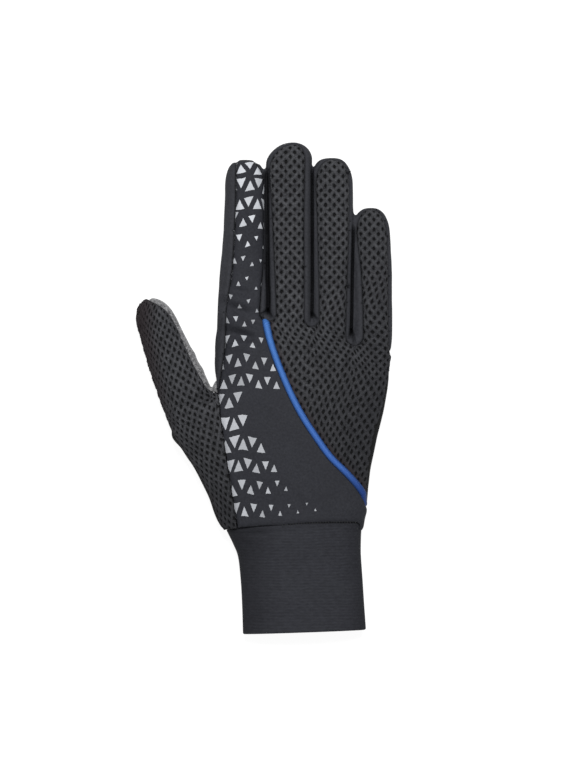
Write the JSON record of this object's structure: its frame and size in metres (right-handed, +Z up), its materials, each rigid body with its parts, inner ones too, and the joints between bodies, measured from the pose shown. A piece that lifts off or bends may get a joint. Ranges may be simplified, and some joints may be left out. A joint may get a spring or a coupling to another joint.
{
  "type": "diving glove",
  "caption": "Right-hand warm-water diving glove with mesh back panels, a printed panel edged by a piping cord, a suede palm and a plain stretch cuff.",
  "frame": {"origin": "a point on the resting plane under the palm, below the middle finger's base, at about the middle of the glove's length", "axes": "+Y along the fingers to the fingertips, +Z up out of the back of the hand, +X towards the little finger, so that the thumb is towards -X"},
  "size_m": [0.126, 0.2448, 0.0276],
  "materials": {
    "palm_panel": "soft brushed synthetic suede, light grey",
    "print_panel": "smooth stretch fabric, black, with a printed pattern of light grey triangles",
    "knuckle_mesh_panel": "open spacer mesh, black",
    "thumb_mesh_panel": "open spacer mesh, black",
    "index_side_gusset": "smooth stretch fabric, black",
    "index_middle_gusset": "smooth stretch fabric, black",
    "middle_ring_gusset": "smooth stretch fabric, black",
    "ring_pinky_gusset": "smooth stretch fabric, black",
    "pinky_side_gusset": "smooth stretch fabric, black",
    "piping": "smooth woven piping, blue",
    "cuff": "matte stretch knit, charcoal"
  },
  "bodies": {
    "root": {"palm_panel": "palm_panel", "print_panel": "print_panel", "knuckle_mesh_panel": "knuckle_mesh_panel", "thumb_mesh_panel": "thumb_mesh_panel", "index_side_gusset": "index_side_gusset", "index_middle_gusset": "index_middle_gusset", "middle_ring_gusset": "middle_ring_gusset", "ring_pinky_gusset": "ring_pinky_gusset", "pinky_side_gusset": "pinky_side_gusset", "piping": "piping", "cuff": "cuff"}
  },
  "joints": []
}
